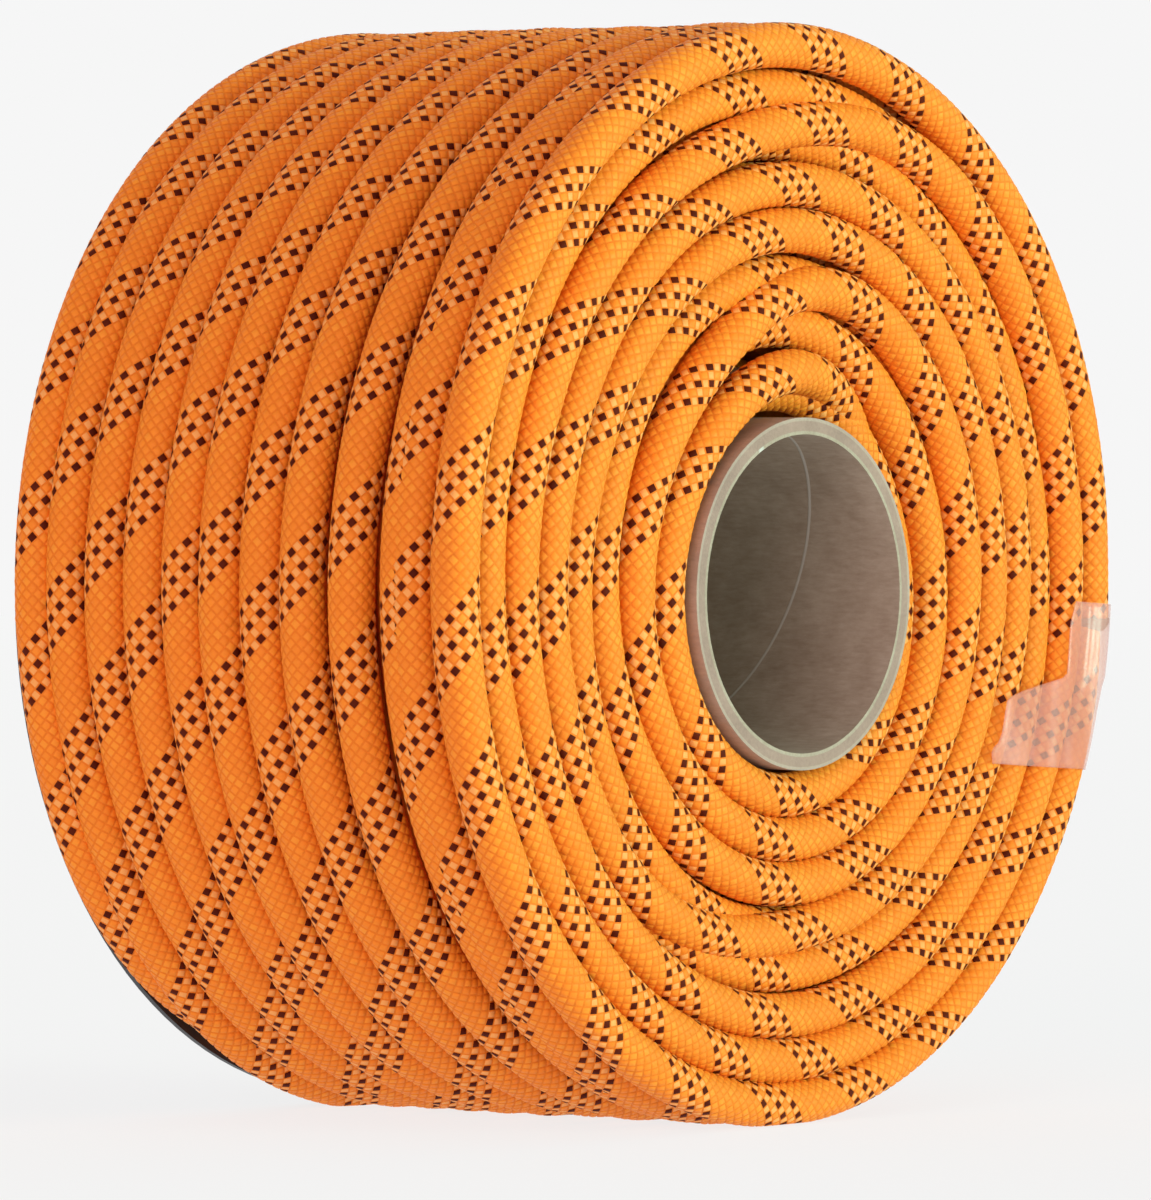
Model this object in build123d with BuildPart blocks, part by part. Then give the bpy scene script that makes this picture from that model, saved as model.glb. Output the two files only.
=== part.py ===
from build123d import *
import os
from math import cos, pi, radians, sin

# A roll of braided kernmantle climbing rope, wound in layers on a spiral-wound paper tube.
# The tube's axis lies along Y and its near end faces -Y.  The origin is the middle of the bore.
# Angles round the tube are measured from +X towards +Z.

# ---- driving dimensions, millimetres ----
ROPE_D = 12.0
LAYERS = 8
TURNS_WIDE = 12              # turns side by side in one layer
TURN_SPAN = 127.0            # from the first turn's centre to the last turn's centre
ROLL_R = 132.0               # outer radius of the wound rope
ROLL_SHIFT_X = -1.0          # the winding is fuller on top of the tube than under it
ROLL_SHIFT_Z = 4.2
FLAT_DEPTH = 0.8             # how far the roll's own weight presses its base flat
EDGE_ROUND = 5.2             # the end turns' roundness on each layer

BORE_D = 76.2
LINER_T = 0.8
BODY_T = 2.4
WRAP_T = 0.8
TUBE_LENGTH = 142.0          # its near end is flush with the rope's near face

DISC_R = 125.0
DISC_T = 1.5
DISC_GAP = 0.3               # round the tube

TAIL_FROM = 26.0             # degrees; the tail is the last stretch of the near edge turn
TAIL_TO = -4.0               # degrees, where the tail is cut and fused
TAIL_ROOM = 14.0             # degrees left free beyond the cut end
TAIL_WALL = 1.1              # braided sheath over the core
TAIL_GAP = 0.2               # between the tail and the turns round it
SEAL_LENGTH = 4.0            # fused end of the rope

TAPE_T = 0.3
TAPE_ANGLE = -10.0           # degrees, middle of the tape
TAPE_WIDTH = 40.0
TAPE_FACE_R = 95.0           # how far down the near face the tape reaches
TAPE_BARREL_Y = -33.0        # how far along the barrel it reaches

START_ANGLE = 116.0          # degrees, where the rope's inner end lies against the tube
START_DEPTH = 7.0            # how far it lies behind the turns at the near face
START_TAPE_T = 0.2
START_TAPE_WIDTH = 40.0
START_TAPE_ARC = 70.0        # degrees
SKIN = 0.05                  # clearance under a tape

# ---- worked out from them ----
tube_r = BORE_D / 2 + LINER_T + BODY_T + WRAP_T
layer_h = (ROLL_R - tube_r) / LAYERS
turn_pitch = TURN_SPAN / (TURNS_WIDE - 1)
winding_width = TURN_SPAN + ROPE_D
near_face = -TUBE_LENGTH / 2
far_face = near_face + winding_width
near_turn = near_face + ROPE_D / 2       # centre of the turns at the near face
winding_middle = (near_face + far_face) / 2
floor_z = ROLL_SHIFT_Z - ROLL_R + FLAT_DEPTH
outer_turn_r = ROLL_R - ROPE_D / 2


def layer_radius(layer):
    """Outer radius of a layer; layer 0 is the tube itself."""
    return tube_r + layer * layer_h


def layer_centre(layer):
    """Centre (x, z) of a layer's outer circle, which drifts as the layers build up."""
    share = layer / LAYERS
    return ROLL_SHIFT_X * share, ROLL_SHIFT_Z * share


def cross_plane(y, centre=(0.0, 0.0)):
    """A plane across the tube at y, facing -Y, with its origin at centre (x, z)."""
    return Plane(origin=(centre[0], y, centre[1]), x_dir=(1, 0, 0), z_dir=(0, -1, 0))


def radial_plane(angle, centre=(0.0, 0.0)):
    """A plane through the axis: its x runs outwards at the angle, its y runs along +Y."""
    out = (cos(radians(angle)), 0, sin(radians(angle)))
    along = (-sin(radians(angle)), 0, cos(radians(angle)))
    return Plane(origin=(centre[0], 0, centre[1]), x_dir=out, z_dir=along)


def turning_axis(centre=(0.0, 0.0)):
    """The axis that a revolve follows so that its angle grows from +X towards +Z."""
    return Axis((centre[0], 0, centre[1]), (0, -1, 0))


def save(part, name):
    part.label = name
    export_step(part, f"parts/{name}.step")


os.makedirs("parts", exist_ok=True)


# ---- the paper tube: three bonded plies ----
def tube_ply(inner_r, thickness):
    with BuildPart() as ply:
        with BuildSketch(cross_plane(TUBE_LENGTH / 2)):
            Circle(inner_r + thickness)
            Circle(inner_r, mode=Mode.SUBTRACT)
        extrude(amount=TUBE_LENGTH)
    return ply.part


liner_r = BORE_D / 2
body_r = liner_r + LINER_T
wrap_r = body_r + BODY_T
save(tube_ply(liner_r, LINER_T), "tube_liner")
save(tube_ply(body_r, BODY_T), "tube_body")
save(tube_ply(wrap_r, WRAP_T), "tube_wrap")

# ---- the thin disc on the far end ----
with BuildPart() as rear_disc:
    with BuildSketch(cross_plane(far_face + DISC_T)):
        Circle(DISC_R)
        Circle(tube_r + DISC_GAP, mode=Mode.SUBTRACT)
    extrude(amount=DISC_T)
save(rear_disc.part, "rear_disc")


# ---- the rope's ends ----
def rope_arc(start, end, turn_r, y, outer_d, centre, inner_d=0.0):
    """A short stretch of rope, or of its sheath, bent round the roll."""
    with BuildPart() as stretch:
        with BuildSketch(radial_plane(start, centre)):
            with Locations((turn_r, y)):
                Circle(outer_d / 2)
                if inner_d:
                    Circle(inner_d / 2, mode=Mode.SUBTRACT)
        revolve(axis=turning_axis(centre), revolution_arc=end - start)
    return stretch.part


roll_centre = layer_centre(LAYERS)
core_d = ROPE_D - 2 * TAIL_WALL
seal_arc = SEAL_LENGTH / outer_turn_r * 180 / pi
gap_arc = TAIL_GAP / outer_turn_r * 180 / pi
tail_sheath = rope_arc(TAIL_TO, TAIL_FROM, outer_turn_r, near_turn, ROPE_D, roll_centre, core_d)
tail_core = rope_arc(TAIL_TO, TAIL_FROM, outer_turn_r, near_turn, core_d, roll_centre)
tail_seal = rope_arc(TAIL_TO - seal_arc, TAIL_TO, outer_turn_r, near_turn, ROPE_D, roll_centre)
tail_room = rope_arc(
    TAIL_TO - TAIL_ROOM, TAIL_FROM + gap_arc, outer_turn_r, near_turn, ROPE_D + 2 * TAIL_GAP, roll_centre
)
save(tail_sheath, "rope_tail_sheath")
save(tail_core, "rope_tail_core")
save(tail_seal, "rope_tail_seal")

start_r = tube_r + layer_h / 2
start_seal_d = layer_h - 0.6
start_seal_arc = SEAL_LENGTH / start_r * 180 / pi
start_to = START_ANGLE + start_seal_arc
start_y = near_turn + START_DEPTH
start_seal = rope_arc(START_ANGLE, start_to, start_r, start_y, start_seal_d, layer_centre(0))
start_room = rope_arc(START_ANGLE, start_to + 1.0, start_r, start_y, layer_h - TAIL_GAP, layer_centre(0))
save(start_seal, "rope_start_seal")


# ---- the hidden tape that holds the first turn to the tube ----
def start_tape_shape(clearance):
    """The tape over layer 1, grown by a clearance for the pocket that it lies in."""
    margin_arc = clearance / layer_radius(1) * 180 / pi
    first = START_ANGLE - START_TAPE_ARC / 2 - margin_arc
    arc = START_TAPE_ARC + 2 * margin_arc
    middle_r = layer_radius(1) + SKIN + START_TAPE_T / 2
    middle_y = start_y + START_TAPE_WIDTH / 2
    with BuildPart() as strip:
        with BuildSketch(radial_plane(first, layer_centre(1))):
            with Locations((middle_r, middle_y)):
                Rectangle(START_TAPE_T + 2 * clearance, START_TAPE_WIDTH + 2 * clearance)
        revolve(axis=turning_axis(layer_centre(1)), revolution_arc=arc)
    return strip.part


save(start_tape_shape(0.0), "start_tape")


# ---- the wound rope: one closed solid for each layer of turns ----
def inner_layer(layer):
    """A ring of turns: rounded outer edges, resting on the layer below."""
    with BuildPart() as ring:
        with BuildSketch(cross_plane(far_face, layer_centre(layer))):
            Circle(layer_radius(layer))
        extrude(amount=winding_width)
        fillet(ring.edges().filter_by(GeomType.CIRCLE), EDGE_ROUND)
        with BuildSketch(cross_plane(far_face, layer_centre(layer - 1))):
            Circle(layer_radius(layer - 1))
        extrude(amount=winding_width, mode=Mode.SUBTRACT)
    return ring.part


def outer_layer():
    """The last layer, whose turns show on the barrel and are pressed flat at the base."""
    below = LAYERS - 1
    root_r = layer_radius(below) - 2.0
    with BuildPart() as ring:
        with BuildSketch(radial_plane(0, roll_centre)):
            with Locations(((root_r + outer_turn_r) / 2, winding_middle)):
                Rectangle(outer_turn_r - root_r, winding_width - 2.0)
            with Locations((outer_turn_r, winding_middle)):
                with GridLocations(1, turn_pitch, 1, TURNS_WIDE):
                    Circle(ROPE_D / 2)
        revolve(axis=turning_axis(roll_centre), revolution_arc=360)
        with BuildSketch(cross_plane(far_face, layer_centre(below))):
            Circle(layer_radius(below))
        extrude(amount=winding_width, mode=Mode.SUBTRACT)
        with BuildSketch(Plane.XY.offset(floor_z)):
            Rectangle(4 * ROLL_R, 2 * winding_width)
        extrude(amount=-ROPE_D, mode=Mode.SUBTRACT)
    return ring.part


for number in range(1, LAYERS):
    ring = inner_layer(number)
    if number == 1:
        ring = ring - start_room
    if number == 2:
        ring = ring - start_tape_shape(SKIN)
    if number == LAYERS - 1:
        ring = ring - tail_room
    save(ring, f"rope_layer_{number}")
save(outer_layer() - tail_room, f"rope_layer_{LAYERS}")

# ---- the clear tape that holds the tail: along the barrel, over its edge and down the face ----
with BuildPart() as tail_tape:
    tape_arc = TAPE_WIDTH / ROLL_R * 180 / pi
    off_barrel = ROLL_R + TAPE_T
    off_face = near_face - TAPE_T
    with BuildSketch(radial_plane(TAPE_ANGLE - tape_arc / 2, roll_centre)):
        with BuildLine():
            FilletPolyline(
                (off_barrel, TAPE_BARREL_Y),
                (off_barrel, off_face),
                (TAPE_FACE_R, off_face),
                radius=ROPE_D / 2,
            )
        trace(line_width=TAPE_T)
    revolve(axis=turning_axis(roll_centre), revolution_arc=tape_arc)
save(tail_tape.part, "tail_tape")
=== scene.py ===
from math import cos, pi, radians, sin, sqrt, tau

import bpy
import numpy as np
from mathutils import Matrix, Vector
from mathutils.bvhtree import BVHTree


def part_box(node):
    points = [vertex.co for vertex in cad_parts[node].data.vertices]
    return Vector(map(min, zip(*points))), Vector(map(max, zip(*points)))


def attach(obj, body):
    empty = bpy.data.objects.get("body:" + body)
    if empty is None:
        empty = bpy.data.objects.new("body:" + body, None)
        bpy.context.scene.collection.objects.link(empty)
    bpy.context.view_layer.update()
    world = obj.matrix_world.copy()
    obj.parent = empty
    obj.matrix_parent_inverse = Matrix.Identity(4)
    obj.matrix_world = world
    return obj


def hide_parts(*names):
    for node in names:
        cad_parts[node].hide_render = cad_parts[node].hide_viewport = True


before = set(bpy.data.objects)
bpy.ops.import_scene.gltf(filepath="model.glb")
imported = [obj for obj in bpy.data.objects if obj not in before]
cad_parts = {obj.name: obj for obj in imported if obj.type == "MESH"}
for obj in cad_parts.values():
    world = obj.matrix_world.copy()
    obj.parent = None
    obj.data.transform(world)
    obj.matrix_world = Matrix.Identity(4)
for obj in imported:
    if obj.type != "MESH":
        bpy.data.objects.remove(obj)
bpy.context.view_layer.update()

# ---- sizes ----
ROPE_D = 0.012
LAYERS = 8
LAY = 0.0348                # one turn of the braid's yarns round the rope
CARRIERS = 12               # yarns each way
TRACER_YARNS = (0, 2, 4)    # the dark ones, of the twelve that turn one way
BAND_YARNS = (0, 1, 2, 3, 4)

tube_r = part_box("tube_wrap")[1].x
near_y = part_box("rope_layer_8")[0].y + ROPE_D / 2       # centre of the turns at the near face
far_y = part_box("rope_layer_8")[1].y - ROPE_D / 2
floor_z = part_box("rope_layer_8")[0].z

START_ANGLE = 116.0
START_DEPTH = 0.007         # the inner end lies this far behind the near turns
INNER_TURN_R = tube_r + ROPE_D / 2
OUTER_TURN_R = 0.1253
LIFT = 0.0056               # how far the buried inner end lifts the turns above it
LIFT_ANGLE = radians(77)
ROLL_RISE, ROLL_SHIFT, ROLL_OVAL = 0.00438, 0.0007, 0.00125     # the outer layers sag and drift off centre
UNEVEN_ALONG, UNEVEN_OUT = 0.00025, 0.0002      # small unevenness of the winding
FAR_BULGE = 0.0016          # the far turns stand out this much below, on the -X side
FAR_BULGE_ANGLE = radians(238)
FAR_BULGE_FROM, FAR_BULGE_FADE = 0.014, 0.008   # how far from the far turns it starts, and over what distance


def turns_at(angle, whole_turns):
    """Turns from the inner end to where the rope passes an angle, after so many whole turns."""
    return whole_turns + (START_ANGLE - angle) / 360


# Where the rope climbs from one layer to the next: at the far end, then the near end, and so on.
CLIMBS = (
    turns_at(300, 11.0 + 1),
    turns_at(95, 22.0),
    turns_at(200, 33.0 + 1),
    turns_at(250, 44.0 + 1),
    turns_at(320, 56.0 + 1),
    turns_at(80, 67.0),
    turns_at(240, 78.0 + 1),
)
CLIMB_TURNS = 0.10
END = turns_at(-4, 90.0)
POINTS_A_TURN = 36
FIRST_LAP = 0.35            # turns in which the rope comes up from the tube to its layer's own radius

# The first turns, from the inner end: turns wound, and how far from the near turns.
FIRST_TURNS = ((0, START_DEPTH), (0.15, START_DEPTH), (0.6, 0), (1.08, 0), (1.36, 0.0185))

# The last turns lie loosely: how many whole turns back, and how far from the near turns, at the -X side.
LOOSE_TURNS = ((5, 0.0575), (4, 0.045), (3, 0.0307), (2, 0.0151))

# Where the tail ends, the turn beside it steps over to the near edge: turns back, and how far from
# the near turns.
EDGE_TURN = ((1.055, 0.0115), (1.015, 0), (0, 0))

# Turns spent against each end before and after a climb.
DWELLS = (0.5, 0.6, 0.5, 0.7, 0.5, 0.6, 0.35)


# ---- the rope's route ----
def route_schedule():
    """Distance along the tube and layer number, both as points over the turn count."""
    along = [(turn, near_y + distance) for turn, distance in FIRST_TURNS]
    end = far_y
    for climb, dwell in zip(CLIMBS, DWELLS):
        along += [(climb - dwell, end), (climb + dwell, end)]
        end = near_y if end == far_y else far_y
    along += [(turns_at(180, 90 - back), near_y + distance) for back, distance in LOOSE_TURNS]
    along += [(END - back, near_y + distance) for back, distance in EDGE_TURN]
    layers = [(0.0, 1.0)]
    for number, climb in enumerate(CLIMBS, start=1):
        layers += [(climb - CLIMB_TURNS / 2, number), (climb + CLIMB_TURNS / 2, number + 1)]
    layers.append((END, LAYERS))
    return along, layers


def soften(values, width):
    """A running mean over an odd number of points, its ends held."""
    padded = np.concatenate([np.full(width // 2, values[0]), values, np.full(width // 2, values[-1])])
    return np.convolve(padded, np.ones(width) / width, "valid")


def wander(turns, seed, size, each=0.17):
    """Small smooth seeded unevenness along the rope."""
    random = np.random.default_rng(seed)
    knots = np.arange(0, END + 2 * each, each)
    return soften(np.interp(turns, knots, random.normal(0, size, len(knots))), 3)


def turn_radius(layer, angle):
    """Distance of a turn's centre from the tube's axis: lifted over the inner end, a little sunk below."""
    share = (layer - 1) / (LAYERS - 1)
    plain = INNER_TURN_R + (OUTER_TURN_R - INNER_TURN_R) * share
    narrowness = np.interp(layer, (1, 2.5), (4.5, 2.2))
    over_end = LIFT * np.maximum(np.cos(angle - LIFT_ANGLE), 0) ** narrowness
    whole = ROLL_RISE * np.sin(angle) - ROLL_SHIFT * np.cos(angle) - ROLL_OVAL * np.cos(2 * angle)
    return plain + (1 - share) * over_end + share * whole


def rope_route():
    """Control points of the rope's spline, POINTS_A_TURN to a turn."""
    along, layers = route_schedule()
    turns = np.linspace(0, END, int(END * POINTS_A_TURN) + 1)
    y = soften(np.interp(turns, *zip(*along)), 3) + wander(turns, 3, UNEVEN_ALONG)
    layer = soften(np.interp(turns, *zip(*layers)), 3)
    angle = np.radians(START_ANGLE) - tau * turns
    radius = turn_radius(layer, angle) + wander(turns, 5, UNEVEN_OUT)
    first = np.clip(turns / FIRST_LAP, 0, 1)
    radius -= (1 - first) * (turn_radius(1.0, angle) - INNER_TURN_R)
    far_share = np.clip((y - far_y + FAR_BULGE_FROM) / FAR_BULGE_FADE, 0, 1)
    radius += FAR_BULGE * far_share * np.maximum(np.cos(angle - FAR_BULGE_ANGLE), 0) ** 4
    # a spline of order 3 runs a little inside its control points on a turn
    radius /= 0.75 + 0.25 * cos(tau / POINTS_A_TURN)
    return np.stack([radius * np.cos(angle), y, radius * np.sin(angle)], 1)


def spline_line(name, points, steps):
    """The points of a NURBS line through open space, as its own curve gives them."""
    curve = bpy.data.curves.new(name, "CURVE")
    curve.dimensions = "3D"
    curve.resolution_u = steps
    spline = curve.splines.new("NURBS")
    spline.points.add(len(points) - 1)
    spline.points.foreach_set("co", np.column_stack([points, np.ones(len(points))]).ravel())
    spline.order_u = 3
    spline.use_endpoint_u = True
    holder = bpy.data.objects.new(name, curve)
    bpy.context.scene.collection.objects.link(holder)
    mesh = bpy.data.meshes.new_from_object(holder)
    line = np.zeros(len(mesh.vertices) * 3)
    mesh.vertices.foreach_get("co", line)
    bpy.data.objects.remove(holder)
    bpy.data.curves.remove(curve)
    bpy.data.meshes.remove(mesh)
    return line.reshape(-1, 3)


# ---- materials ----
def new_material(name, colour, roughness=0.5, **values):
    material = bpy.data.materials.new(name)
    material.use_nodes = True
    shader = material.node_tree.nodes["Principled BSDF"]
    shader.inputs["Base Color"].default_value = (*colour, 1)
    shader.inputs["Roughness"].default_value = roughness
    for socket, value in values.items():
        shader.inputs[socket.replace("_", " ")].default_value = value
    return material


def node(material, kind, **values):
    made = material.node_tree.nodes.new(kind)
    for name, value in values.items():
        if name in made.inputs:
            made.inputs[name].default_value = value
        else:
            setattr(made, name, value)
    return made


def link(material, start, end):
    material.node_tree.links.new(start, end)


def shader_of(material):
    return material.node_tree.nodes["Principled BSDF"]


def add_bump(material, height, strength, distance):
    bump = node(material, "ShaderNodeBump", Strength=strength, Distance=distance)
    link(material, height, bump.inputs["Height"])
    link(material, bump.outputs["Normal"], shader_of(material).inputs["Normal"])


GLOSS_SPREAD = 0.1


def yarn_material(name, colour, roughness, shine=0.2):
    """Twisted filament yarn: a fine grain of fibres in the bump, and uneven gloss."""
    material = new_material(name, colour, roughness, Specular_IOR_Level=shine)
    place = node(material, "ShaderNodeTexCoord")
    fibre = node(material, "ShaderNodeTexNoise", Scale=1500.0, Detail=3.0, Roughness=0.6)
    link(material, place.outputs["Object"], fibre.inputs["Vector"])
    add_bump(material, fibre.outputs["Fac"], 0.35, 0.00025)
    spread = node(material, "ShaderNodeMapRange")
    spread.inputs["To Min"].default_value = roughness - GLOSS_SPREAD
    spread.inputs["To Max"].default_value = roughness + GLOSS_SPREAD
    link(material, fibre.outputs["Fac"], spread.inputs["Value"])
    link(material, spread.outputs["Result"], shader_of(material).inputs["Roughness"])
    return material


ORANGES = ((0.86, 0.235, 0.015), (0.83, 0.215, 0.013), (0.86, 0.262, 0.019), (0.83, 0.222, 0.014))
PALE = (0.85, 0.34, 0.085)      # the orange yarns look paler where they cross the tracer
DARKS = ((0.072, 0.007, 0.001), (0.090, 0.010, 0.0015))
# painted shade: a darker orange for the sides of each crossing, where they dip into the braid's grooves
GROOVE_SHADE = (0.78, 0.19, 0.012)
yarns = [yarn_material(f"yarn_orange_{n}", c, 0.55) for n, c in enumerate(ORANGES, start=1)]
yarns.append(yarn_material("yarn_pale", PALE, 0.55))
yarns += [yarn_material(f"yarn_tracer_{n}", c, 0.65, 0.08) for n, c in enumerate(DARKS, start=1)]
yarns.append(yarn_material("yarn_sides_shade", GROOVE_SHADE, 0.7))
BESIDE_DARK = len(ORANGES)
FIRST_DARK = len(ORANGES) + 1
SHADED_SIDES = len(yarns) - 1


# ---- the rope's surface: each crossing of the braid is a small pillow ----
STEPS_A_LAY = 2 * CARRIERS
BLOCK = 4                   # rings in one block; a buried block is one plain ring long
GROOVE_R = 0.00574
CROWN_R = 0.00596
CREST_R = 0.00603
CREST_UNEVEN = 0.00003
PRESSED_OUT, PRESSED_ASIDE = 0.905, 0.975     # neighbouring turns press the rope a little flat
TWIST_SIZE, TWIST_TURNS = 0.8, 0.4            # its uneven twist as it is wound, in radians and turns
NEAR_DEPTH = 0.0135         # turns nearer than this to the near turns show on the near face
FAR_DEPTH = 0.002
SHOWN_BEFORE = 0.45         # turns of the layer below that still show where the last layer starts
FACING = 0.3                # crossings that turn away by more than this cosine stay plain
ODD_YARNS = 0.3             # share of crossings whose shade isn't their yarn's own
# how far a crown stands in from its crossing's edges, as shares of the crossing
ORANGE_ACROSS, ORANGE_ENDWAYS = 0.15, 0.09
DARK_ACROSS, DARK_ENDWAYS = 0.09, 0.05


class RopeSurface:
    """The rope's line resampled in even steps of the braid, with a frame for each step."""

    def __init__(self, line):
        gaps = np.linalg.norm(np.diff(line, axis=0), axis=1)
        reached = np.concatenate([[0], np.cumsum(gaps)])
        self.length = reached[-1]
        step = LAY / STEPS_A_LAY
        self.count = int(self.length / step) // BLOCK * BLOCK + 1
        s = np.linspace(0, self.length, self.count)
        self.centre = np.stack([np.interp(s, reached, line[:, k]) for k in range(3)], 1)
        forward = np.gradient(self.centre, axis=0)
        forward = np.stack([soften(forward[:, k], 5) for k in range(3)], 1)
        self.forward = forward / np.linalg.norm(forward, axis=1)[:, None]
        out = self.centre * (1, 0, 1)
        out -= (out * self.forward).sum(1)[:, None] * self.forward
        self.out = out / np.linalg.norm(out, axis=1)[:, None]
        self.side = np.cross(self.forward, self.out)
        angle = np.unwrap(np.arctan2(self.centre[:, 2], self.centre[:, 0]))
        self.turns = (angle[0] - angle) / tau
        self.twist = wander(self.turns, 9, TWIST_SIZE, TWIST_TURNS)

    def points(self, ring, slot, height):
        """Points on rings, at slots of a twenty-fourth of the way round."""
        low = np.floor(ring).astype(int).clip(0, self.count - 2)
        part = (ring - low)[:, None]
        angle = np.asarray(slot) * (tau / STEPS_A_LAY) + self.twist[low]
        angle += (self.twist[low + 1] - self.twist[low]) * (ring - low)

        def between(values):
            return values[low] * (1 - part) + values[low + 1] * part

        offset = np.cos(angle)[:, None] * between(self.out) * PRESSED_OUT
        offset += np.sin(angle)[:, None] * between(self.side) * PRESSED_ASIDE
        place = between(self.centre) + offset * np.asarray(height)[:, None]
        place[:, 2] = np.maximum(place[:, 2], floor_z + 0.0002)
        return place


def rope_mesh(rope):
    """Corners on a diamond lattice; a shown crossing gets a raised crown, a buried stretch plain rings."""
    turns, y = rope.turns, rope.centre[:, 1]
    at_near = y < near_y + NEAR_DEPTH
    on_outside = turns > CLIMBS[-1] - SHOWN_BEFORE
    fine = at_near | on_outside
    blocks = fine[:-1].reshape(-1, BLOCK).any(1)
    fine_step = np.repeat(blocks, BLOCK)
    fine_ring = np.zeros(rope.count, bool)
    fine_ring[:-1] |= fine_step
    fine_ring[1:] |= fine_step
    kept = fine_ring.copy()
    kept[::BLOCK] = True
    rings = np.nonzero(kept)[0]
    first_vertex = np.full(rope.count, -1)
    first_vertex[rings] = np.arange(len(rings)) * CARRIERS
    ring_of = np.repeat(rings, CARRIERS)
    slot_of = np.tile(np.arange(CARRIERS) * 2, len(rings)) + ring_of % 2
    vertices = [rope.points(ring_of.astype(float), slot_of, np.full(len(ring_of), GROOVE_R))]
    total = len(vertices[0])

    def corner(ring, slot):
        return first_vertex[ring] + (slot % STEPS_A_LAY) // 2

    faces, kinds = [], []
    random = np.random.default_rng(11)

    # buried stretches
    starts = np.nonzero(~blocks)[0] * BLOCK
    column = np.arange(CARRIERS)
    a = (first_vertex[starts][:, None] + column).ravel()
    b = (first_vertex[starts][:, None] + (column + 1) % CARRIERS).ravel()
    c = (first_vertex[starts + BLOCK][:, None] + (column + 1) % CARRIERS).ravel()
    d = (first_vertex[starts + BLOCK][:, None] + column).ravel()
    faces.append(np.stack([a, b, c, d], 1))
    kinds.append(np.zeros(len(a), int))

    # crossings: their left corner's ring and slot, and the middle's
    middle = np.repeat(np.nonzero(fine_ring)[0], CARRIERS)
    slot = np.tile(np.arange(CARRIERS) * 2, len(middle) // CARRIERS) + middle % 2
    below = (middle > 0) & fine_step[np.maximum(middle - 1, 0)]
    above = (middle < rope.count - 1) & fine_step[np.minimum(middle, rope.count - 2)]
    whole = below & above
    left, right = corner(middle, slot), corner(middle, slot + 2)
    z_yarn = ((slot - middle) // 2) % CARRIERS
    s_yarn = ((slot + middle) // 2) % CARRIERS
    z_on_top = slot % 2 == 0
    dark = z_on_top & np.isin(z_yarn, TRACER_YARNS)
    yarn_shade = random.integers(0, len(ORANGES), 2 * CARRIERS)
    own = np.where(z_on_top, yarn_shade[z_yarn], yarn_shade[s_yarn + CARRIERS])
    odd = random.random(len(middle)) < ODD_YARNS
    shade = np.where(odd, random.integers(0, len(ORANGES), len(middle)), own)
    shade = np.where(~z_on_top & np.isin(z_yarn, BAND_YARNS), BESIDE_DARK, shade)
    shade = np.where(dark, FIRST_DARK + random.integers(0, len(DARKS), len(middle)), shade)
    for part, step in ((below & ~above, -1), (above & ~below, 1)):
        tip = corner(middle[part] + step, slot[part] + 1)
        order = (left[part], tip, right[part]) if step < 0 else (left[part], right[part], tip)
        faces.append(np.stack([*order, order[2]], 1))
        kinds.append(shade[part])

    middle, slot, left, right = middle[whole], slot[whole], left[whole], right[whole]
    z_on_top, shade = z_on_top[whole], shade[whole]
    low, high = corner(middle - 1, slot + 1), corner(middle + 1, slot + 1)
    angle = (slot + 1) * (tau / STEPS_A_LAY) + rope.twist[middle]
    facing = np.cos(angle)[:, None] * rope.out[middle] + np.sin(angle)[:, None] * rope.side[middle]
    outward = on_outside[middle] & (np.cos(angle) > -FACING)
    to_near = at_near[middle] & (facing[:, 1] < FACING)
    to_far = (y[middle] > far_y - FAR_DEPTH) & on_outside[middle] & (facing[:, 1] > -FACING)
    crown = outward | to_near | to_far
    plain = ~crown
    faces.append(np.stack([left, low, right, high], 1)[plain])
    kinds.append(shade[plain])

    # crowned crossings: a runs with falling ring, b with rising ring, both with rising slot
    middle, slot, shade, z_on_top = middle[crown], slot[crown], shade[crown], z_on_top[crown]
    corners = [left[crown], low[crown], right[crown], high[crown]]
    dark = (shade >= FIRST_DARK) & (shade < SHADED_SIDES)
    across = np.where(dark, DARK_ACROSS, ORANGE_ACROSS)
    endways = np.where(dark, DARK_ENDWAYS, ORANGE_ENDWAYS)
    inset_a = np.where(z_on_top, across, endways)
    inset_b = np.where(z_on_top, endways, across)
    amount = len(middle)
    inner = []
    for part_a, part_b in ((0, 0), (1, 0), (1, 1), (0, 1)):
        pa = np.where(part_a, 1 - inset_a, inset_a)
        pb = np.where(part_b, 1 - inset_b, inset_b)
        vertices.append(rope.points(middle + pb - pa, slot + pa + pb, np.full(amount, CROWN_R)))
        inner.append(total + np.arange(amount))
        total += amount
    crest = CREST_R + random.normal(0, CREST_UNEVEN, amount)
    vertices.append(rope.points(middle.astype(float), slot + 1, crest))
    peak = total + np.arange(amount)
    total += amount
    for k in range(4):
        after = (k + 1) % 4
        faces.append(np.stack([inner[k], inner[after], peak, peak], 1))
        kinds.append(shade)
        # the sides down to the grooves take the darker orange of the painted shade
        faces.append(np.stack([corners[k], corners[after], inner[after], inner[k]], 1))
        kinds.append(np.full(amount, SHADED_SIDES))
    return np.concatenate(vertices), np.concatenate(faces), np.concatenate(kinds)


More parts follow.
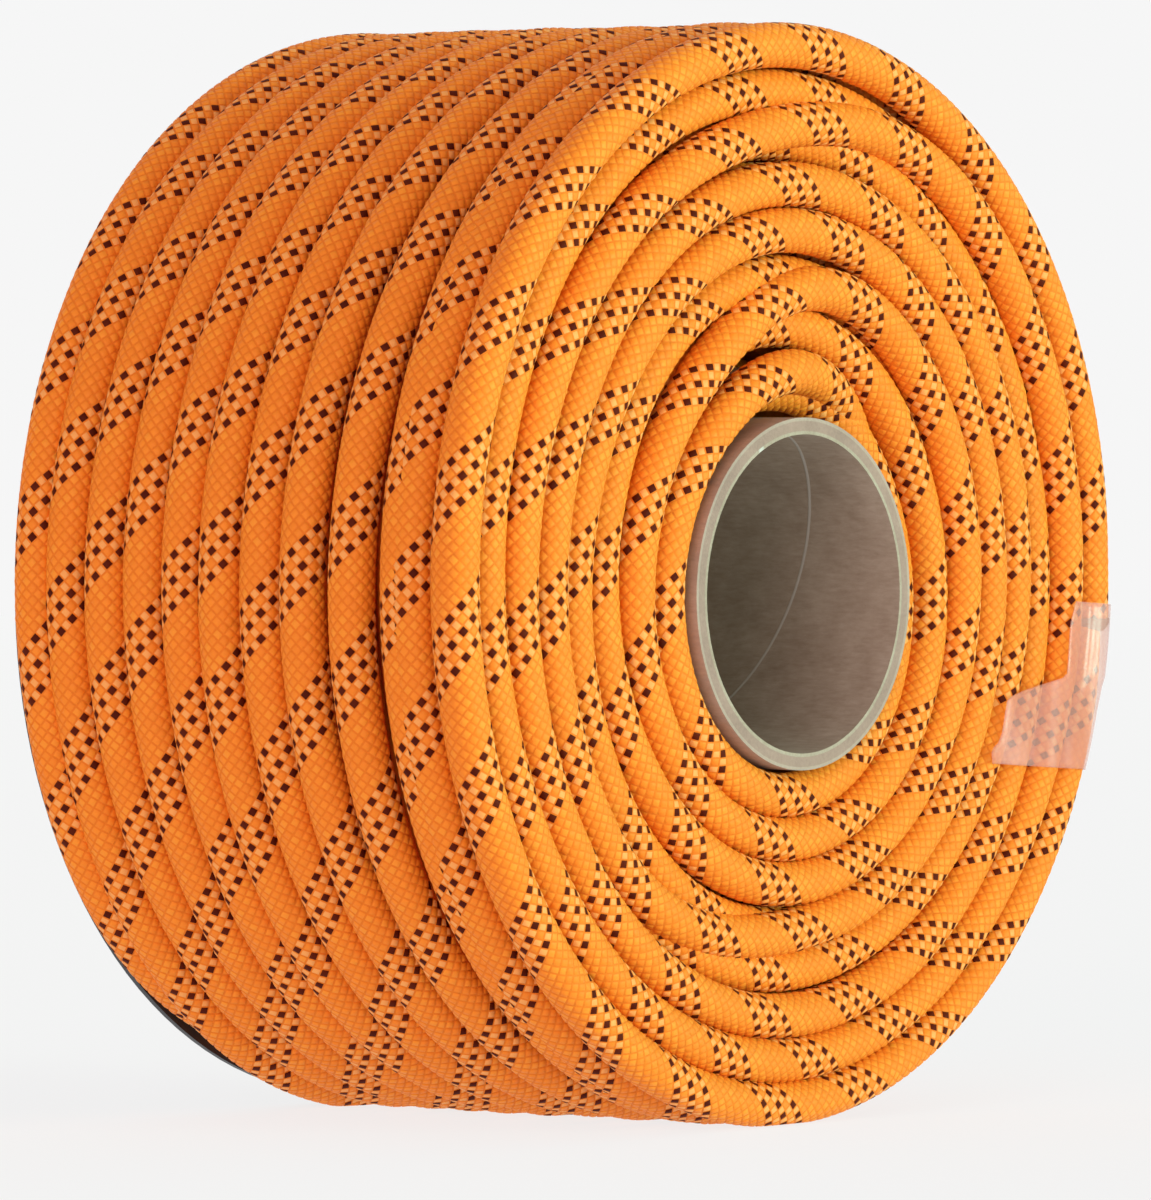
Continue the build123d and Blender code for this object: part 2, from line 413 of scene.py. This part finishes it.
def fast_mesh(name, vertices, faces, kinds, materials):
    """A mesh from four-column faces, where a triangle repeats its last corner."""
    triangle = faces[:, 2] == faces[:, 3]
    sizes = np.where(triangle, 3, 4)
    keep = np.ones(faces.shape, bool)
    keep[triangle, 3] = False
    mesh = bpy.data.meshes.new(name)
    mesh.vertices.add(len(vertices))
    mesh.vertices.foreach_set("co", np.asarray(vertices, np.float32).ravel())
    mesh.loops.add(int(sizes.sum()))
    mesh.loops.foreach_set("vertex_index", faces[keep].astype(np.int32))
    mesh.polygons.add(len(faces))
    mesh.polygons.foreach_set("loop_start", np.concatenate([[0], np.cumsum(sizes)[:-1]]).astype(np.int32))
    mesh.polygons.foreach_set("material_index", np.asarray(kinds, np.int32))
    mesh.polygons.foreach_set("use_smooth", np.ones(len(faces), bool))
    for material in materials:
        mesh.materials.append(material)
    mesh.update(calc_edges=True)
    mesh.validate()
    thing = bpy.data.objects.new(name, mesh)
    bpy.context.scene.collection.objects.link(thing)
    return thing


rope = RopeSurface(spline_line("rope_line", rope_route(), 4))
rope_vertices, rope_faces, rope_kinds = rope_mesh(rope)
rope_object = fast_mesh("rope", rope_vertices, rope_faces, rope_kinds, yarns)
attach(rope_object, "root")
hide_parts(*[f"rope_layer_{n}" for n in range(1, LAYERS + 1)])
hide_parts("rope_tail_sheath", "rope_tail_core")


# ---- the rope's melted ends ----
MELTED_R = 0.0059
MELTED_LENGTH = 0.004
MELTED_SUNK = 0.1           # share of its length by which a lump starts inside the sheath
LUMP_SIZE = 0.00022


def melted_yarn():
    """Yarns melted into one: dark glassy blotches on burnt orange."""
    material = new_material("melted_yarn", (0.16, 0.045, 0.012), 0.35)
    noise = node(material, "ShaderNodeTexNoise", Scale=700.0, Detail=4.0)
    ramp = node(material, "ShaderNodeValToRGB")
    ramp.color_ramp.elements[0].color = (0.05, 0.016, 0.008, 1)
    ramp.color_ramp.elements[1].color = (0.42, 0.12, 0.02, 1)
    link(material, noise.outputs["Fac"], ramp.inputs["Fac"])
    link(material, ramp.outputs["Color"], shader_of(material).inputs["Base Color"])
    add_bump(material, noise.outputs["Fac"], 0.5, 0.0004)
    return material


def melted_end(name, replaced, ring, direction, length, seed):
    """A cap that closes the sheath: the yarns' ends run together into an uneven dark lump."""
    random = np.random.default_rng(seed)
    rings, around = 9, 36
    angle = np.arange(around) * tau / around
    lumps = np.zeros(around)
    for waves in (2, 3, 5, 7):
        lumps = lumps + random.normal(0, LUMP_SIZE / waves) * np.cos(waves * angle + random.uniform(0, tau))
    vertices = []
    for step in range(rings):
        share = step / (rings - 1)
        radius = MELTED_R * sqrt(1 - 0.97 * share ** 2.6) + lumps * (0.3 + share) * (1 - share ** 4)
        along = direction * length * (share - MELTED_SUNK) + random.normal(0, 0.00006, around)
        flat = np.cos(angle)[:, None] * rope.out[ring] + np.sin(angle)[:, None] * rope.side[ring]
        vertices.append(rope.centre[ring] + flat * radius[:, None] + along[:, None] * rope.forward[ring])
    tip = rope.centre[ring] + direction * length * 0.93 * rope.forward[ring]
    back = rope.centre[ring] - direction * length * MELTED_SUNK * rope.forward[ring]
    vertices = np.concatenate(vertices + [[tip], [back]])
    faces = []
    for step in range(rings - 1):
        for k in range(around):
            after = (k + 1) % around
            a, b = step * around + k, step * around + after
            faces.append((a, b, b + around, a + around)[::direction])
    last = (rings - 1) * around
    for k in range(around):
        after = (k + 1) % around
        faces.append((last + k, last + after, len(vertices) - 2)[::direction])
        faces.append((after, k, len(vertices) - 1)[::direction])
    mesh = bpy.data.meshes.new(name)
    mesh.from_pydata(vertices.tolist(), [], faces)
    mesh.shade_smooth()
    mesh.materials.append(melted_material)
    lump = bpy.data.objects.new(name, mesh)
    bpy.context.scene.collection.objects.link(lump)
    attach(lump, "root")
    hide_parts(replaced)
    return lump


melted_material = melted_yarn()
tail_end = melted_end("fused_tail", "rope_tail_seal", rope.count - 1, 1, MELTED_LENGTH, 21)
start_end = melted_end("fused_start", "rope_start_seal", 0, -1, MELTED_LENGTH, 22)


# ---- the paper tube ----
SEAM_PITCH = 0.098          # the liner's strip is wound at this pitch
SEAM_Y = -0.0595            # where its edge crosses SEAM_ANGLE
SEAM_ANGLE = radians(74)


def maths(material, operation, first, second=None):
    made = node(material, "ShaderNodeMath", operation=operation)
    for slot, value in enumerate((first, second)):
        if value is None:
            continue
        if isinstance(value, (int, float)):
            made.inputs[slot].default_value = value
        else:
            link(material, value, made.inputs[slot])
    return made.outputs["Value"]


def paper_material(name, dark, light, seam=False):
    """Grey board: cloudy pulp, fine fibres and, on the liner, the pale edge of its spiral strip."""
    material = new_material(name, light, 0.85, Specular_IOR_Level=0.2)
    place = node(material, "ShaderNodeTexCoord")
    cloud = node(material, "ShaderNodeTexNoise", Scale=55.0, Detail=6.0, Roughness=0.65)
    fibre = node(material, "ShaderNodeTexNoise", Scale=900.0, Detail=3.0, Roughness=0.7)
    stretch = node(material, "ShaderNodeMapping")
    stretch.inputs["Scale"].default_value = (1.0, 0.25, 1.0)
    link(material, place.outputs["Object"], stretch.inputs["Vector"])
    link(material, place.outputs["Object"], cloud.inputs["Vector"])
    link(material, stretch.outputs["Vector"], fibre.inputs["Vector"])
    cloudy = maths(material, "MULTIPLY", cloud.outputs["Fac"], 0.6)
    fibrous = maths(material, "MULTIPLY", fibre.outputs["Fac"], 0.4)
    blend = maths(material, "ADD", cloudy, fibrous)
    ramp = node(material, "ShaderNodeValToRGB")
    ramp.color_ramp.elements[0].position = 0.36
    ramp.color_ramp.elements[0].color = (*dark, 1)
    ramp.color_ramp.elements[1].position = 0.64
    ramp.color_ramp.elements[1].color = (*light, 1)
    link(material, blend, ramp.inputs["Fac"])
    colour, height = ramp.outputs["Color"], fibre.outputs["Fac"]
    if seam:
        split = node(material, "ShaderNodeSeparateXYZ")
        link(material, place.outputs["Object"], split.inputs["Vector"])
        angle = maths(material, "ARCTAN2", split.outputs["Z"], split.outputs["X"])
        from_angle = maths(material, "SUBTRACT", angle, SEAM_ANGLE)
        from_y = maths(material, "SUBTRACT", split.outputs["Y"], SEAM_Y)
        turned = maths(material, "DIVIDE", from_angle, tau)
        travelled = maths(material, "DIVIDE", from_y, SEAM_PITCH)
        winding = maths(material, "ADD", turned, travelled)
        phase = maths(material, "FRACT", maths(material, "ADD", winding, 8.5))
        away = maths(material, "ABSOLUTE", maths(material, "SUBTRACT", phase, 0.5))
        line = node(material, "ShaderNodeMapRange")
        line.inputs["From Min"].default_value = 0.0025
        line.inputs["From Max"].default_value = 0.0055
        line.inputs["To Min"].default_value = 1.0
        line.inputs["To Max"].default_value = 0.0
        link(material, away, line.inputs["Value"])
        mix = node(material, "ShaderNodeMix", data_type="RGBA")
        mix.inputs["B"].default_value = (0.52, 0.48, 0.42, 1)
        link(material, line.outputs["Result"], mix.inputs["Factor"])
        link(material, colour, mix.inputs["A"])
        colour = mix.outputs["Result"]
        height = maths(material, "ADD", height, line.outputs["Result"])
    link(material, colour, shader_of(material).inputs["Base Color"])
    add_bump(material, height, 0.5, 0.0003)
    return material


def give(node_name, material):
    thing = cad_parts[node_name]
    thing.data.materials.clear()
    thing.data.materials.append(material)


liner = paper_material("board_liner", (0.300, 0.228, 0.165), (0.440, 0.357, 0.275), seam=True)
give("tube_liner", liner)
give("tube_body", paper_material("board_body", (0.275, 0.180, 0.145), (0.375, 0.245, 0.198)))
give("tube_wrap", paper_material("board_wrap", (0.34, 0.245, 0.195), (0.44, 0.325, 0.26)))
give("start_tape", paper_material("paper_tape", (0.55, 0.45, 0.28), (0.70, 0.60, 0.42)))


# ---- the thin black disc ----
def disc_plastic():
    """Thin black sheet plastic: a fine grain, with cloudy wear in its colour and gloss."""
    material = new_material("disc_plastic", (0.012, 0.013, 0.017), 0.38)
    place = node(material, "ShaderNodeTexCoord")
    grain = node(material, "ShaderNodeTexNoise", Scale=900.0, Detail=2.0)
    wear = node(material, "ShaderNodeTexNoise", Scale=30.0, Detail=6.0, Roughness=0.7)
    for texture in (grain, wear):
        link(material, place.outputs["Object"], texture.inputs["Vector"])
    ramp = node(material, "ShaderNodeValToRGB")
    ramp.color_ramp.elements[0].position = 0.4
    ramp.color_ramp.elements[0].color = (0.009, 0.010, 0.013, 1)
    ramp.color_ramp.elements[1].position = 0.7
    ramp.color_ramp.elements[1].color = (0.024, 0.026, 0.034, 1)
    link(material, wear.outputs["Fac"], ramp.inputs["Fac"])
    link(material, ramp.outputs["Color"], shader_of(material).inputs["Base Color"])
    gloss = node(material, "ShaderNodeMapRange")
    gloss.inputs["To Min"].default_value = 0.28
    gloss.inputs["To Max"].default_value = 0.55
    link(material, wear.outputs["Fac"], gloss.inputs["Value"])
    link(material, gloss.outputs["Result"], shader_of(material).inputs["Roughness"])
    add_bump(material, grain.outputs["Fac"], 0.15, 0.0001)
    return material


give("rear_disc", disc_plastic())


# ---- the clear tape over the tail ----
TAPE_TOP, TAPE_FOOT = -0.0050, -0.0458      # heights of its edges where it turns round the corner
TAPE_TILT = radians(-3.9)
TAPE_BARREL_Y = -0.033
TAPE_FILM = 0.00012
# how near the middle it reaches on the face: share of its width from the top, and x
FACE_REACH = (
    (0, 0.1107), (0.14, 0.1083), (0.458, 0.107), (0.554, 0.0896),
    (0.61, 0.0822), (0.868, 0.0795), (0.92, 0.0763), (1, 0.077),
)
CORNER = 0.012              # the corner's rays meet this far inside the roll's surface
ROLL_X, ROLL_Z, ROLL_R = -0.0007, 0.0044, 0.1309    # the roll's outline near the tape, as a circle
AWAY = 0.03                 # rays start this far off
STRETCH_STEPS = 24          # rays along the barrel, round the corner and down the face, for each
ROWS = 33                   # rays across the film
BRIDGED = 5                 # the film bridges hollows this many rays either side along it
BRIDGED_ROWS = 12           # and this many rows either side across it
CLEAR = 0.0004              # the film lies this far off the rope's crests
CREASE = 0.00022


def tape_rays(height, reach):
    """Start and direction of the rays that find the rope under the film, along the film's length."""
    out = Vector((cos(TAPE_TILT), 0, sin(TAPE_TILT)))
    along = Vector((0, 1, 0))
    surface_x = ROLL_X + sqrt(ROLL_R ** 2 - (height - ROLL_Z) ** 2)
    corner = Vector((surface_x, near_y + ROPE_D / 2, height)) - out * CORNER
    rays = []
    for step in range(STRETCH_STEPS):
        back = (TAPE_BARREL_Y - corner.y) * (1 - step / STRETCH_STEPS)
        rays.append((corner + out * AWAY + along * back, -out))
    for step in range(STRETCH_STEPS):
        turn = pi / 2 * step / STRETCH_STEPS
        way = out * cos(turn) - along * sin(turn)
        rays.append((corner + way * AWAY, -way))
    for step in range(STRETCH_STEPS + 1):
        inwards = (corner.x - reach) / out.x * step / STRETCH_STEPS
        rays.append((corner - out * inwards - along * AWAY, along))
    return rays


def rope_by_tape():
    """A search tree of the rope's faces that the film may touch."""
    x, y, z = rope_vertices.T
    near = (x > 0.06) & (abs(z + 0.02) < 0.04) & (y < -0.02)
    renumber = np.cumsum(near) - 1
    faces = renumber[rope_faces[near[rope_faces].all(1)]]
    corners = [tuple(dict.fromkeys(face)) for face in faces.tolist()]
    return BVHTree.FromPolygons([Vector(v) for v in rope_vertices[near]], corners)


def film_points():
    """Points of the film, row by row, and the ways in which their rays ran."""
    tree = rope_by_tape()
    starts, ways, depths = [], [], []
    for row in range(ROWS):
        share = row / (ROWS - 1)
        reach = float(np.interp(share, *zip(*FACE_REACH)))
        rays = tape_rays(TAPE_TOP + (TAPE_FOOT - TAPE_TOP) * share, reach)
        hits = [tree.ray_cast(start, way)[3] for start, way in rays]
        starts.append([tuple(start) for start, _ in rays])
        ways.append([tuple(way) for _, way in rays])
        depths.append([AWAY if hit is None else hit for hit in hits])
    starts, ways, depths = np.array(starts), np.array(ways), np.array(depths)
    columns = depths.shape[1]
    lifted = np.stack([depths[:, max(c - BRIDGED, 0):c + BRIDGED + 1].min(1) for c in range(columns)], 1)
    lifted = np.stack([lifted[max(r - BRIDGED_ROWS, 0):r + BRIDGED_ROWS + 1].min(0) for r in range(ROWS)], 0)
    smooth = np.stack([soften(lifted[r], 2 * BRIDGED + 1) for r in range(ROWS)], 0)
    smooth = np.stack([soften(smooth[:, c], 2 * BRIDGED + 1) for c in range(columns)], 1)
    smooth = np.minimum(smooth, lifted) - CLEAR
    random = np.random.default_rng(31)
    crease = soften(random.normal(0, 1, columns), 3)
    smooth = smooth - CREASE * crease[None, :] * np.linspace(0.3, 1, ROWS)[:, None]
    return starts + ways * smooth[..., None], ways


def film_material():
    """Clear tape: mostly see-through and hazy. Its pink colour is painted light from the orange rope beneath,
    and its soft paler streaks are painted reflections where it bridges the rope.
    """
    material = new_material("tape_film", (0.51, 0.375, 0.35), 0.3)
    shader = shader_of(material)
    shader.inputs["Alpha"].default_value = 0.30
    shader.inputs["Coat Weight"].default_value = 0.1
    shader.inputs["Coat Roughness"].default_value = 0.15
    place = node(material, "ShaderNodeTexCoord")
    haze = node(material, "ShaderNodeTexNoise", Scale=160.0, Detail=3.0)
    link(material, place.outputs["Object"], haze.inputs["Vector"])
    gloss = node(material, "ShaderNodeMapRange")
    gloss.inputs["To Min"].default_value = 0.15
    gloss.inputs["To Max"].default_value = 0.45
    link(material, haze.outputs["Fac"], gloss.inputs["Value"])
    link(material, gloss.outputs["Result"], shader.inputs["Roughness"])
    stretch = node(material, "ShaderNodeMapping")
    stretch.inputs["Scale"].default_value = (1.0, 1.0, 0.08)
    painted_streaks = node(material, "ShaderNodeTexNoise", Scale=170.0, Detail=2.0)
    link(material, place.outputs["Object"], stretch.inputs["Vector"])
    link(material, stretch.outputs["Vector"], painted_streaks.inputs["Vector"])
    # painted light: pink for the rope's orange seen through the film, paler pink for the reflections in its
    # streaks
    streak_tint = node(material, "ShaderNodeValToRGB")
    streak_tint.color_ramp.elements[0].position = 0.42
    streak_tint.color_ramp.elements[0].color = (0.74, 0.33, 0.26, 1)
    streak_tint.color_ramp.elements[1].position = 0.68
    streak_tint.color_ramp.elements[1].color = (0.90, 0.56, 0.50, 1)
    link(material, painted_streaks.outputs["Fac"], streak_tint.inputs["Fac"])
    link(material, streak_tint.outputs["Color"], shader.inputs["Base Color"])
    add_bump(material, painted_streaks.outputs["Fac"], 0.4, 0.001)
    return material


def tape_object():
    points, ways = film_points()
    rows, columns = points.shape[:2]
    index = np.arange(rows * columns).reshape(rows, columns)
    quads = np.stack([index[:-1, :-1], index[:-1, 1:], index[1:, 1:], index[1:, :-1]], -1).reshape(-1, 4)
    mesh = bpy.data.meshes.new("tail_tape_film")
    mesh.from_pydata(points.reshape(-1, 3).tolist(), [], quads.tolist())
    mesh.shade_smooth()
    film = bpy.data.objects.new("tail_tape_film", mesh)
    bpy.context.scene.collection.objects.link(film)
    thick = film.modifiers.new("film", "SOLIDIFY")
    thick.thickness = TAPE_FILM
    normal = np.cross(points[0, 1] - points[0, 0], points[1, 0] - points[0, 0])
    thick.offset = 1 if ways[0, 0] @ normal < 0 else -1
    mesh.materials.append(film_material())
    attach(film, "root")
    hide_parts("tail_tape")


tape_object()

# ---- camera ----
AZIMUTH = radians(-51.6)
ELEVATION = radians(1.3)
DISTANCE = 2.4
LENS = 301.4
AIM_ASIDE, AIM_BELOW = 0.04993, 0.00152      # it aims left of the near face's middle and below it
to_camera = Vector((sin(AZIMUTH) * cos(ELEVATION), -cos(AZIMUTH) * cos(ELEVATION), sin(ELEVATION)))
to_right = Vector((cos(AZIMUTH), sin(AZIMUTH), 0))
aim = Vector((0, near_y, 0)) - AIM_ASIDE * to_right - Vector((0, 0, AIM_BELOW))
camera_data = bpy.data.cameras.new("camera")
camera_data.lens = LENS
camera_data.sensor_width = 36
camera_data.clip_end = 50
camera = bpy.data.objects.new("camera", camera_data)
camera.location = aim + DISTANCE * to_camera
camera.rotation_euler = to_camera.to_track_quat("Z", "Y").to_euler()
bpy.context.scene.collection.objects.link(camera)
bpy.context.scene.camera = camera


# ---- studio ----
FLOOR_REACH = 6.0
BACKDROP_AWAY, BACKDROP_REACH, BACKDROP_TOP = 5.0, 8.0, 7.0


def soft_sun(name, place, strength, spread, colour=(1, 1, 1)):
    data = bpy.data.lights.new(name, "SUN")
    data.energy = strength
    data.angle = radians(spread)
    data.color = colour
    lamp = bpy.data.objects.new(name, data)
    lamp.location = place
    lamp.rotation_euler = Vector(place).to_track_quat("Z", "Y").to_euler()
    bpy.context.scene.collection.objects.link(lamp)


def pale_board(name, corners, albedo, glow):
    mesh = bpy.data.meshes.new(name)
    mesh.from_pydata([tuple(corner) for corner in corners], [], [(0, 1, 2, 3)])
    paper = new_material(f"{name}_paper", (albedo, albedo, albedo), 0.95, Specular_IOR_Level=0.0)
    shader_of(paper).inputs["Emission Color"].default_value = (1, 1, 1, 1)
    shader_of(paper).inputs["Emission Strength"].default_value = glow
    mesh.materials.append(paper)
    board = bpy.data.objects.new(name, mesh)
    bpy.context.scene.collection.objects.link(board)


def studio():
    world = bpy.data.worlds.new("studio")
    world.use_nodes = True
    background = world.node_tree.nodes["Background"]
    background.inputs["Color"].default_value = (1.0, 1.0, 1.0, 1)
    background.inputs["Strength"].default_value = 0.5
    bpy.context.scene.world = world
    reach = FLOOR_REACH
    flat = [(x * reach, y * reach, floor_z) for x, y in ((-1, -1), (1, -1), (1, 1), (-1, 1))]
    pale_board("floor", flat, 0.15, 0.79)
    behind, aside = -to_camera * BACKDROP_AWAY, to_right * BACKDROP_REACH
    low, high = Vector((0, 0, floor_z - 0.5)), Vector((0, 0, BACKDROP_TOP))
    wall = [behind - aside + low, behind + aside + low, behind + aside + high, behind - aside + high]
    pale_board("backdrop", wall, 0.0, 0.922)
    soft_sun("key", (0.30, -1.2, 0.05), 4.85, 28, (0.60, 1.0, 0.82))
    soft_sun("side", (-1.0, -0.3, 0.2), 1.38, 35, (1.0, 0.70, 0.68))
    bpy.context.scene.view_settings.view_transform = "Standard"


studio()
